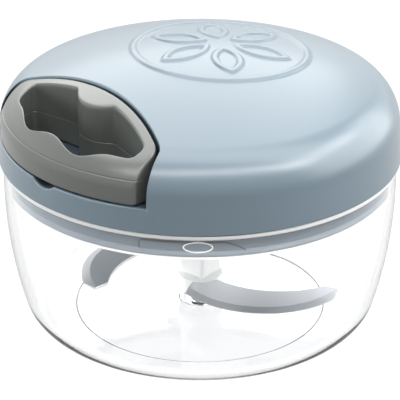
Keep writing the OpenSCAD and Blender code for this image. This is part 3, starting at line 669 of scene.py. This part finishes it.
def bright_ground_steel():
    return metal("bright_ground_steel", (0.6, 0.6, 0.61), 0.22)


def blued_spring():
    return metal("blued_spring", (0.16, 0.17, 0.2), 0.28)


def turned_brass():
    return metal("turned_brass", (0.7, 0.5, 0.2), 0.25)


def polished_clear():
    """Clear polished plastic with a trace of haze, which casts a faint shadow."""
    known = bpy.data.materials.get("polished_clear")
    if known:
        return known
    material, tree, shader = new_material("polished_clear")
    place = node(tree, "ShaderNodeTexCoord").outputs["Object"]
    haze = node(tree, "ShaderNodeTexNoise", {"Vector": place, "Scale": 60, "Detail": 3}).outputs["Fac"]
    path = node(tree, "ShaderNodeLightPath").outputs
    feed(tree, shader, {"Base Color": (*bpy.context.scene.chopper_bowl.tint, 1), "Transmission Weight": 1,
                        "IOR": 1.45, "Roughness": ranged(tree, haze, 0, 0.03),
                        "Alpha": ranged(tree, path["Is Shadow Ray"], 1, 0.1)})
    return material


def pale_braid():
    """Pale braided nylon: two slanted sets of strands cross along the cord."""
    known = bpy.data.materials.get("pale_braid")
    if known:
        return known
    material, tree, shader = new_material("pale_braid")
    place = node(tree, "ShaderNodeTexCoord").outputs["Object"]
    strands = []
    for slant in (35, -35):
        turn = node(tree, "ShaderNodeMapping", {"Vector": place, "Rotation": (0, 0, math.radians(slant))})
        wave = node(tree, "ShaderNodeTexWave",
                    {"Vector": turn.outputs["Vector"], "Scale": 700, "Distortion": 0.6})
        strands.append(wave.outputs["Fac"])
    cross = math_node(tree, "MAXIMUM", *strands)
    ramp = node(tree, "ShaderNodeValToRGB", {"Fac": cross})
    ramp.color_ramp.elements[0].color = (0.42, 0.42, 0.41, 1)
    ramp.color_ramp.elements[1].color = (0.78, 0.78, 0.76, 1)
    relief = node(tree, "ShaderNodeBump", {"Strength": 0.6, "Distance": 0.1 * MM, "Height": cross})
    feed(tree, shader, {"Base Color": ramp.outputs["Color"], "Normal": relief.outputs["Normal"],
                        "Roughness": 0.7})
    return material


def finish(piece, material):
    piece.data.materials.clear()
    piece.data.materials.append(material)


def finish_nodes(material, *names):
    """Gives frame pieces their finish."""
    for name in names:
        finish(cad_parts[name], material)


def second_finish(piece, material, chosen):
    """Gives a second finish to the faces whose centres pass a test of x, y and z."""
    piece.data.materials.append(material)
    centres = np.array([face.center for face in piece.data.polygons])
    piece.data.polygons.foreach_set("material_index", chosen(*centres.T).astype(np.int32))


def dress(piece, body, slot, material, *replaced):
    """Gives a new piece its finish, its body and the frame pieces that it stands for."""
    finish(piece, material)
    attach(piece, body)
    if replaced:
        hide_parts(*replaced)


# Pieces

class ChopperLid(bpy.types.Operator):
    """Domed lid shell with handle pocket, lip, finger scoop and rosette"""

    bl_idname = "chopper.lid"
    bl_label = "Lid shell"

    def execute(self, context):
        s = context.scene.chopper_lid
        outside = lid_columns(s, 0, 0, core_rows=80, dome_rows=90, with_welts=True)
        inside = lid_columns(s, s.wall, s.pocket_wall, core_rows=12, dome_rows=24, with_welts=False)
        grid = np.concatenate([outside, inside[:, ::-1, :]], axis=1)
        lid = link_grid("lid_shell", grid, sharp=math.radians(50))
        dress(lid, "lid", "lid_plastic", blue_grey_moulding(), "lid_cover")
        curve = lid_curve(s, 0)
        pocket_y = -0.9 * s.pocket_near
        lip_r = s.radius - 2 * s.draft

        def in_pocket_shade(x, y, z):
            reach = np.hypot(x, y)
            below = np.interp(reach, curve[:, 0], curve[:, 1]) - z
            return (y < pocket_y) & (reach < lip_r) & (below > s.soft_edge)

        # Painted shade: the faces inside the pocket get the darkened copy of the lid's finish.
        second_finish(lid, pocket_painted_shade(), in_pocket_shade)
        return {"FINISHED"}


class ChopperHandle(bpy.types.Operator):
    """Two halves of the pull handle, with finger waves and cord boss"""

    bl_idname = "chopper.handle"
    bl_label = "Pull handle"

    def plan(self, s, lid):
        """Matching outer and inner outlines of the handle, seen from above."""
        count = 260
        end_count = 24
        bend_count = 11
        behind = lid.pocket_near + lid.pocket_radius
        outer_arc = lid.pocket_radius - s.gap
        inner_arc = outer_arc - s.bar
        rim = lid.radius - lid.draft - s.inset
        share = np.linspace(-1, 1, count)
        x_out = s.half * share
        x_in = np.where(share < 0, s.opening_left, s.opening_right) * share
        rear_out = np.column_stack([x_out, np.sqrt(outer_arc ** 2 - x_out ** 2) - behind])
        front_out = np.column_stack([x_out, -np.sqrt(rim ** 2 - x_out ** 2)])[::-1]
        arc_y = np.sqrt(inner_arc ** 2 - x_in ** 2) - behind
        round_r = (s.boss_half ** 2 + s.boss ** 2) / (2 * s.boss)
        tip_y = inner_arc - behind - s.boss
        inside = np.clip(round_r ** 2 - x_in ** 2, 0, None)
        far = 1.0
        boss_y = np.where(np.abs(x_in) > round_r, far, tip_y + round_r - np.sqrt(inside))
        rear_y = -s.boss_blend * np.logaddexp(-arc_y / s.boss_blend, -boss_y / s.boss_blend)
        rear_in = np.column_stack([x_in, rear_y])
        x_front = np.where(share < 0, s.opening_left - s.opening_slant, s.opening_right) * share
        around = np.arcsin(x_front / s.grip)
        swing = np.clip((around - s.wave_turn) / s.pitch, -1, 1)
        grip = s.grip + s.lean * around - s.wave * np.cos(2 * math.pi * swing)
        front_in = np.column_stack([grip * np.sin(around), -grip * np.cos(around)])[::-1]
        soft_out = [s.corner, s.front_corner, s.front_corner, s.corner]
        soft_in = [s.opening_corner] * 4
        loops = []
        for rear, front, soft in ((rear_out, front_out, soft_out), (rear_in, front_in, soft_in)):
            sides = [rear, [rear[-1], front[0]], front, [front[-1], rear[0]]]
            loops.append(soft_loop(sides, soft, [count, end_count, count, end_count], bend_count))
        return loops

    def skin(self, curve, reach, run, bottom, split):
        """A section's outer line below and above the parting line, and the point where they meet."""
        top = np.interp(reach, curve[:, 0], curve[:, 1])
        rise = np.linspace(bottom, top[0], 40)
        wall = np.column_stack([np.zeros(len(rise)), rise])
        path = np.concatenate([wall, np.column_stack([run, top])[1:]])
        cross = int(np.argmax(path[:, 1] >= split))
        part = (split - path[cross - 1, 1]) / (path[cross, 1] - path[cross - 1, 1])
        return path[:cross], path[cross:], path[cross - 1] + part * (path[cross] - path[cross - 1])

    def execute(self, context):
        s = context.scene.chopper_handle
        lid = context.scene.chopper_lid
        bottom = low("handle_lower").z
        split = high("handle_lower").z
        outer, inner = self.plan(s, lid)
        skin_count = 72
        counts = [skin_count, 6]
        seam_bend = 3
        lower_curve = lid_curve(lid, s.inset - s.step)
        upper_curve = lid_curve(lid, s.inset)
        lower_rings = []
        upper_rings = []
        share = 1 - np.cos(np.linspace(0, math.pi / 2, 120))
        for start, end in zip(outer, inner):
            width = float(np.linalg.norm(end - start))
            reach = np.linalg.norm(start + share[:, None] * (end - start), axis=1)
            in_split = np.array([width, split])
            below, _, at_split = self.skin(lower_curve, reach, share * width, bottom, split)
            under = np.concatenate([[in_split, [width, bottom], [0, bottom]], below[1:], [at_split]])
            under = rounded(under, s.soft_edge, skin_count)
            lower = soft_loop([under, [at_split, in_split]], [s.seam] * 2, counts, seam_bend)
            _, above, at_split = self.skin(upper_curve, reach, share * width, bottom, split)
            over = rounded(np.concatenate([[at_split], above, [in_split]]), s.soft_edge, skin_count)
            upper = soft_loop([over, [in_split, at_split]], [s.seam] * 2, counts, seam_bend)
            way = (end - start) / width
            for rings, section in ((lower_rings, lower), (upper_rings, upper)):
                rings.append(np.column_stack([start + section[:, 0:1] * way, section[:, 1]]))
        for name, rings, replaced in (("handle_lower_half", lower_rings, "handle_lower"),
                                      ("handle_upper_half", upper_rings, "handle_upper")):
            half = link_grid(name, np.array(rings), wrap_rows=True, sharp=math.radians(60))
            dress(half, "handle", "handle_plastic", warm_grey_moulding(), replaced)
        return {"FINISHED"}


class ChopperBowl(bpy.types.Operator):
    """Clear bowl with straight collar, bellied wall, rim bead and pin boss"""

    bl_idname = "chopper.bowl"
    bl_label = "Clear bowl"

    def wall(self, s, inset, floor_z):
        """Points from the collar's foot down to the floor, on the wall's outside or inside."""
        collar_z = s.rim_z - s.collar
        belly = s.belly - inset
        corner = s.corner - inset
        middle = s.radius - s.belly
        bend_x = middle + math.sqrt((belly - corner) ** 2 - (collar_z - floor_z - corner) ** 2)
        bend_z = floor_z + corner
        meet = math.atan2(collar_z - bend_z, bend_x - middle)
        side = arc(middle, collar_z, belly, np.linspace(0, -meet, 40))
        foot = arc(bend_x, bend_z, corner, np.linspace(-meet, -math.pi / 2, 24))
        return np.concatenate([side, foot[1:]])

    def execute(self, context):
        s = context.scene.chopper_bowl
        inside_r = s.radius - s.wall
        outside = self.wall(s, 0, 0)
        inside = self.wall(s, s.wall, s.floor)[::-1]
        bead_r = s.radius + s.bead
        bead_z = s.rim_z - s.bead_height
        pin_r = high("pivot_pin").x
        pin_z = low("pivot_pin").z
        rim = (inside_r, s.rim_z)
        # From the rim's inner edge round the section: a side's points, its end's rounding in mm, its steps
        route = [
            ([(bead_r, s.rim_z)], 0.4, 6),
            ([(bead_r, bead_z)], 0.45, 5),
            ([(s.radius, bead_z)], 0.25, 4),
            (outside, 0, 90),
            ([(s.recess, 0)], 0.3, 6),
            ([(s.recess, s.recess_depth)], 0.3, 4),
            ([(0, s.recess_depth)], 0, 20),
            ([(0, pin_z)], 0, 2),
            ([(pin_r, pin_z)], 0, 2),
            ([(pin_r, s.boss_z)], 0, 6),
            ([(s.boss_top, s.boss_z)], 0.4, 5),
            ([(s.boss_foot, s.floor)], 0.4, 6),
            ([inside[0]], 0, 16),
            ([*inside[1:], rim], 0.4, 90),
        ]
        sides = []
        corner = rim
        for points, soft, steps in route:
            sides.append(np.array([corner, *points]))
            corner = points[-1]
        loop = soft_loop(sides, [soft * MM for points, soft, steps in route],
                         [steps for points, soft, steps in route])
        bowl = revolve("clear_bowl", loop, sharp=math.radians(60))
        dress(bowl, "bowl", "clear_plastic", polished_clear(), "bowl")
        # Painted highlight: the bead's outer faces are made opaque white.
        second_finish(bowl, rim_painted_highlight(),
                      lambda x, y, z: (z > bead_z) & (np.hypot(x, y) > s.radius + 0.4 * s.bead))
        return {"FINISHED"}


class ChopperRotor(bpy.types.Operator):
    """White stem, its bush, the pivot pin and the crescent blades"""

    bl_idname = "chopper.rotor"
    bl_label = "Rotor and blades"

    def execute(self, context):
        finish_nodes(white_moulding(), "rotor_hub")
        finish_nodes(turned_brass(), "rotor_bush")
        finish_nodes(bright_ground_steel(), "pivot_pin")
        finish_nodes(ground_blade(), "lower_blade", "middle_blade", "upper_blade")
        return {"FINISHED"}


class ChopperBase(bpy.types.Operator):
    """Base plate with plug skirt, its seal and screws"""

    bl_idname = "chopper.base"
    bl_label = "Base plate and seal"

    def skirt(self, s):
        """The plug's skirt with its seal groove, lip and tongue; the lip is painted white as a painted
        highlight.
        """
        radius = high("plug_ring").x
        inner = radius - s.wall
        bottom = low("plug_ring").z
        peak = high("plug_ring").z
        shelf = peak - s.tongue
        seal_z = bottom + s.lip
        tongue = radius - s.tongue_step
        groove = radius - s.groove_depth
        groove_z = seal_z + s.groove
        corners = [(radius, bottom), (radius, seal_z), (groove, seal_z), (groove, groove_z),
                   (radius, groove_z), (radius, shelf), (tongue, shelf), (tongue, peak),
                   (inner, peak), (inner, bottom)]
        sides = [[corner, corners[(k + 1) % len(corners)]] for k, corner in enumerate(corners)]
        loop = soft_loop(sides, [s.soft_edge] * len(corners), [3] * len(corners), 3)
        skirt = revolve("plug_skirt", loop)
        # The skirt in the painted-shade copy of the lid's blue-grey.
        dress(skirt, "lid", "lid_plastic", plug_painted_shade(), "plug_ring")
        # Painted highlight: the faces below the seal groove are made white.
        second_finish(skirt, white_moulding(), lambda x, y, z: z < seal_z)

    def pad(self, s):
        """The pad on the skirt's front, its outline of painted shadow and the oval mark."""
        radius = high("plug_ring").x
        face = radius + s.pad_rise
        foot = low("plug_ring").z + s.lip + s.groove
        turns = np.linspace(s.pad_left, s.pad_right, 160)
        slope = np.clip((turns - s.pad_bend) / (s.pad_right - s.pad_bend), 0, 1) ** s.pad_slope
        from_left = np.clip(1 - (turns - s.pad_left) * radius / s.pad_corner, 0, 1)
        tops = s.pad_top - (s.pad_top - foot) * slope - s.pad_corner * (1 - np.sqrt(1 - from_left ** 2))
        feet = np.full(len(turns), foot)
        pad = plate("plug_pad", np.column_stack([turns, feet]), np.column_stack([turns, tops]),
                    radius - s.pad_root, face)
        dress(pad, "lid", "lid_plastic", plug_painted_shade())
        edge = np.concatenate([[[turns[0] * radius, foot]], np.column_stack([turns * radius, tops])])
        edge = even(edge, 240)
        way = np.gradient(edge, axis=0)
        across = np.column_stack([way[:, 1], -way[:, 0]]) / np.linalg.norm(way, axis=1)[:, None]
        unroll = np.array([1 / radius, 1])
        # A thin dark strip round the pad: painted shadow of the groove at its edge.
        outline = plate("pad_outline", edge * unroll, (edge + s.line * across) * unroll,
                        radius, face + s.trim_rise)
        dress(outline, "lid", "lid_plastic", pad_painted_shadow_line())
        t = np.linspace(0, 2 * math.pi, 96, endpoint=False)
        rims = []
        for grow in (0, -s.line):
            rims.append(np.column_stack([s.mark_turn + (s.mark_half + grow) * np.cos(t) / radius,
                                         s.mark_z + (s.mark_rise + grow) * np.sin(t)]))
        mark = plate("oval_mark", rims[0], rims[1], radius, face + 2 * s.trim_rise, closed=True)
        dress(mark, "lid", "lid_plastic", white_moulding())

    def execute(self, context):
        self.skirt(context.scene.chopper_plug)
        self.pad(context.scene.chopper_plug)
        finish_nodes(blue_grey_moulding(), "lid_base")
        finish_nodes(grey_silicone(), "seal_ring")
        finish_nodes(bright_ground_steel(), "base_screws")
        return {"FINISHED"}


class ChopperDrive(bpy.types.Operator):
    """Spool, clutch, shaft, spring and their bearings inside the lid"""

    bl_idname = "chopper.drive"
    bl_label = "Drive inside the lid"

    def execute(self, context):
        finish_nodes(white_moulding(), "cord_spool", "drive_shaft")
        finish_nodes(cream_moulding(), "shaft_bush", "cord_eyelet", "spring_arbor")
        finish_nodes(bright_ground_steel(), "thrust_washer", "spool_washer", "handle_screws")
        finish_nodes(orange_moulding(), "clutch_pawl")
        finish_nodes(blued_spring(), "rewind_spring")
        return {"FINISHED"}


class ChopperCord(bpy.types.Operator):
    """Pull cord: its turns on the drum, and the run from the eyelet to the knot in the handle"""

    bl_idname = "chopper.cord"
    bl_label = "Pull cord"

    def execute(self, context):
        finish_nodes(pale_braid(), "cord_core", "cord_winding", "cord_knot")
        wall_y = low("cord_eyelet").y
        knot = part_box("cord_knot")
        height = (knot[0].z + knot[1].z) / 2
        radius = 0.8 * MM
        tail_y = wall_y + 3 * MM
        free_y = wall_y + 1 * MM
        rings = np.concatenate([np.linspace(tail_y, free_y, 6)[:-1], np.linspace(free_y, knot[1].y, 120)])
        turns = np.linspace(0, 2 * math.pi, 16, endpoint=False)
        radii = [0, *[radius] * len(rings), 0]
        places = [rings[0], *rings, rings[-1]]
        grid = np.array([[(r * math.cos(turn), y, height + r * math.sin(turn))
                          for r, y in zip(radii, places)] for turn in turns])
        cord = link_grid("pull_cord_run", grid)
        finish(cord, pale_braid())
        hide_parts("pull_cord")
        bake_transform(cord)
        return {"FINISHED"}


class ChopperStudio(bpy.types.Operator):
    """Pale floor, soft lights and the camera"""

    bl_idname = "chopper.studio"
    bl_label = "Studio"

    def seen(self, tree, mirrored):
        """A mask of the rays that show the background: straight or through glass, and mirrored in part."""
        path = node(tree, "ShaderNodeLightPath").outputs
        total = math_node(tree, "MULTIPLY", path["Is Glossy Ray"], mirrored)
        for kind in ("Is Camera Ray", "Is Transmission Ray"):
            total = math_node(tree, "MAXIMUM", total, path[kind])
        return total

    def floor(self, s):
        """A white floor for the camera, which still takes the object's shadow."""
        half = 3.0
        corners = [(-half, -half, 0), (half, -half, 0), (half, half, 0), (-half, half, 0)]
        plane = link_mesh("studio_floor", corners, [(0, 1, 2, 3)])
        plane.location.z = -0.2 * MM
        material, tree, shader = new_material("studio_paper")
        glow = math_node(tree, "MULTIPLY", self.seen(tree, 0.5), s.glow)
        feed(tree, shader, {"Base Color": (*s.paper, 1), "Roughness": 0.9, "Emission Color": (1, 1, 1, 1),
                            "Emission Strength": glow})
        finish(plane, material)

    def world(self, s):
        """White for the camera, and a low even light for the object."""
        world = bpy.data.worlds.new("studio_world")
        bpy.context.scene.world = world
        world.use_nodes = True
        tree = world.node_tree
        level = ranged(tree, self.seen(tree, 1), s.ambient, 1)
        feed(tree, tree.nodes["Background"], {"Color": (1, 1, 1, 1), "Strength": level})

    def lamp(self, name, place, aim, size, strength, mirrored):
        """A rectangular lamp that faces a point."""
        data = bpy.data.lights.new(name, "AREA")
        data.shape = "RECTANGLE"
        data.size, data.size_y = size
        data.energy = strength
        made = bpy.data.objects.new(name, data)
        bpy.context.scene.collection.objects.link(made)
        made.location = place
        made.rotation_euler = (aim - place).to_track_quat("-Z", "Y").to_euler()
        made.visible_glossy = mirrored

    def execute(self, context):
        s = context.scene.chopper_studio
        self.floor(s)
        self.world(s)
        right = Vector((math.cos(s.azimuth), math.sin(s.azimuth), 0))
        to_camera = Vector((math.sin(s.azimuth), -math.cos(s.azimuth), 0))
        up = Vector((0, 0, 1))
        # Each lamp's place to the right, toward the camera and up, its size, its power and if it mirrors
        lamps = (
            ("back_softbox", (-0.1, -0.53, 0.68), (1.0, 0.9), s.back, True),
            ("top_softbox", (0, 0.1, 0.7), (1.2, 0.4), s.top, True),
            ("front_strip", (0.08, 0.46, 0.5), (1.4, 0.1), s.front, True),
            ("upper_strip", (0.5, 0.1, 0.46), (0.6, 0.14), s.upper, True),
            ("left_strip", (-0.6, -0.1, 0.1), (0.9, 0.22), s.left, False),
            ("right_softbox", (0.75, -0.1, 0.25), (1.1, 0.8), s.right, True),
        )
        for name, (across, near, height), size, strength, mirrored in lamps:
            place = right * across + to_camera * near + up * height
            self.lamp(name, place, up * s.middle, size, strength, mirrored)
        data = bpy.data.cameras.new("photo_camera")
        data.lens = s.lens
        data.sensor_width = 36
        data.clip_start = 0.01
        camera = bpy.data.objects.new("photo_camera", data)
        context.scene.collection.objects.link(camera)
        flat = s.distance * math.cos(s.elevation)
        camera.location = to_camera * flat + up * (s.middle + s.distance * math.sin(s.elevation))
        camera.rotation_euler = (up * s.aim - camera.location).to_track_quat("-Z", "Y").to_euler()
        context.scene.camera = camera
        context.scene.view_settings.view_transform = "Standard"
        return {"FINISHED"}


class ChopperPanel(bpy.types.Panel):
    """Sizes, colours and makers of the chopper's pieces"""

    bl_idname = "VIEW3D_PT_chopper"
    bl_label = "Chopper"
    bl_space_type = "VIEW_3D"
    bl_region_type = "UI"
    bl_category = "Chopper"

    def draw(self, context):
        for maker in MAKERS:
            self.layout.operator(maker.bl_idname)
        for group in GROUPS:
            sizes = getattr(context.scene, group)
            box = self.layout.box()
            for name in sizes.__annotations__:
                box.prop(sizes, name)


GROUPS = {"chopper_lid": LidSizes, "chopper_handle": HandleSizes, "chopper_bowl": BowlSizes,
          "chopper_plug": PlugSizes, "chopper_studio": StudioSizes}
MAKERS = [ChopperStudio, ChopperCord, ChopperBowl, ChopperLid, ChopperHandle, ChopperRotor, ChopperBase,
          ChopperDrive]


def register():
    for made in [*GROUPS.values(), *MAKERS, ChopperPanel]:
        bpy.utils.register_class(made)
    for name, group in GROUPS.items():
        setattr(bpy.types.Scene, name, PointerProperty(type=group))


def unregister():
    for name in GROUPS:
        delattr(bpy.types.Scene, name)
    for made in reversed([*GROUPS.values(), *MAKERS, ChopperPanel]):
        bpy.utils.unregister_class(made)


def main():
    register()
    for maker in MAKERS:
        family, name = maker.bl_idname.split(".")
        getattr(getattr(bpy.ops, family), name)()


if __name__ == "__main__":
    main()
